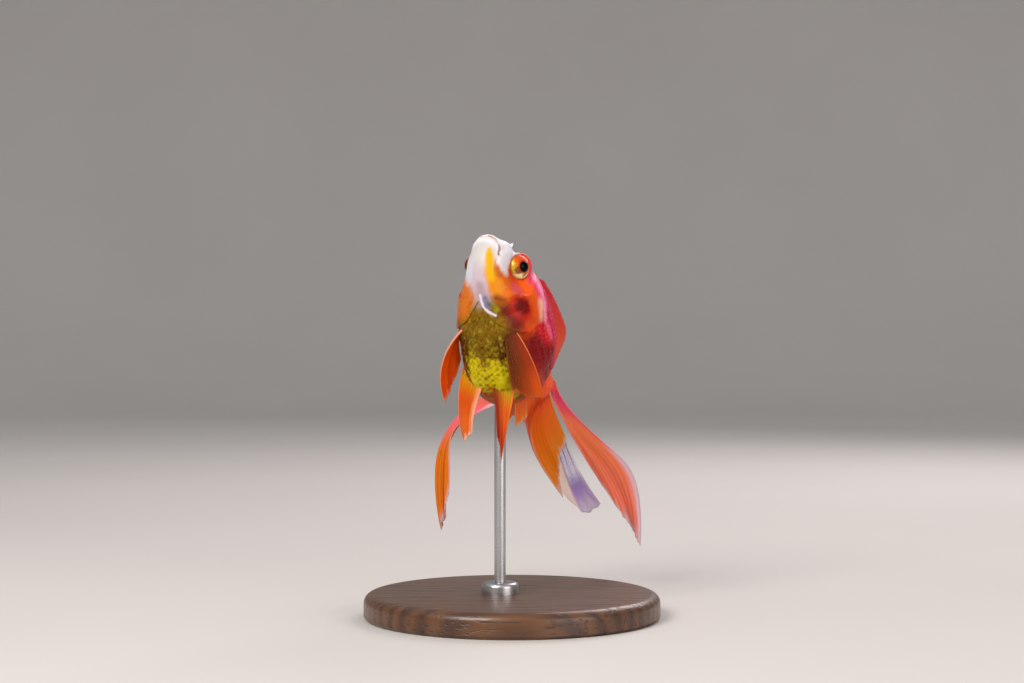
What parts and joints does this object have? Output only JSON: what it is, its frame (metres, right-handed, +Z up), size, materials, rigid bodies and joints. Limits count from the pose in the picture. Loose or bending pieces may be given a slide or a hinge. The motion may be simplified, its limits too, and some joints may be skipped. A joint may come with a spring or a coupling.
{
  "type": "goldfish display model",
  "caption": "Life-size still model of a young long-finned fantail goldfish, climbing with its belly shown, on a round base with one slim rod.",
  "frame": {"origin": "middle of the underside of the stand's round base", "axes": "+Z up; the viewer of the fish's belly looks along +Y, with +X to the right"},
  "size_m": [0.072, 0.086, 0.0922],
  "materials": {
    "scaled_skin": "wet scaled skin, red and orange above, gold below",
    "pale_skin": "smooth pale skin of the chin and jaws",
    "fin_web": "thin orange webbing with fine rays and pale edges",
    "eye": "clear glossy eye, orange iris, black pupil",
    "dark_wood": "dark walnut, satin varnish",
    "steel": "fine brushed steel"
  },
  "bodies": {
    "root": {"head": "scaled_skin", "trunk": "scaled_skin", "tail_base": "scaled_skin", "gill_cover_left": "scaled_skin", "gill_cover_right": "scaled_skin", "lower_jaw": "pale_skin", "eye_left": "eye", "eye_right": "eye", "dorsal_fin": "fin_web", "pectoral_fin_left": "fin_web", "pectoral_fin_right": "fin_web", "pelvic_fin_left": "fin_web", "pelvic_fin_right": "fin_web", "anal_fin_left": "fin_web", "anal_fin_right": "fin_web", "tail_fin_left_upper": "fin_web", "tail_fin_left_lower": "fin_web", "tail_fin_right_upper": "fin_web", "tail_fin_right_lower": "fin_web", "stand_base": "dark_wood", "stand_collar": "steel", "stand_rod": "steel"}
  },
  "joints": []
}
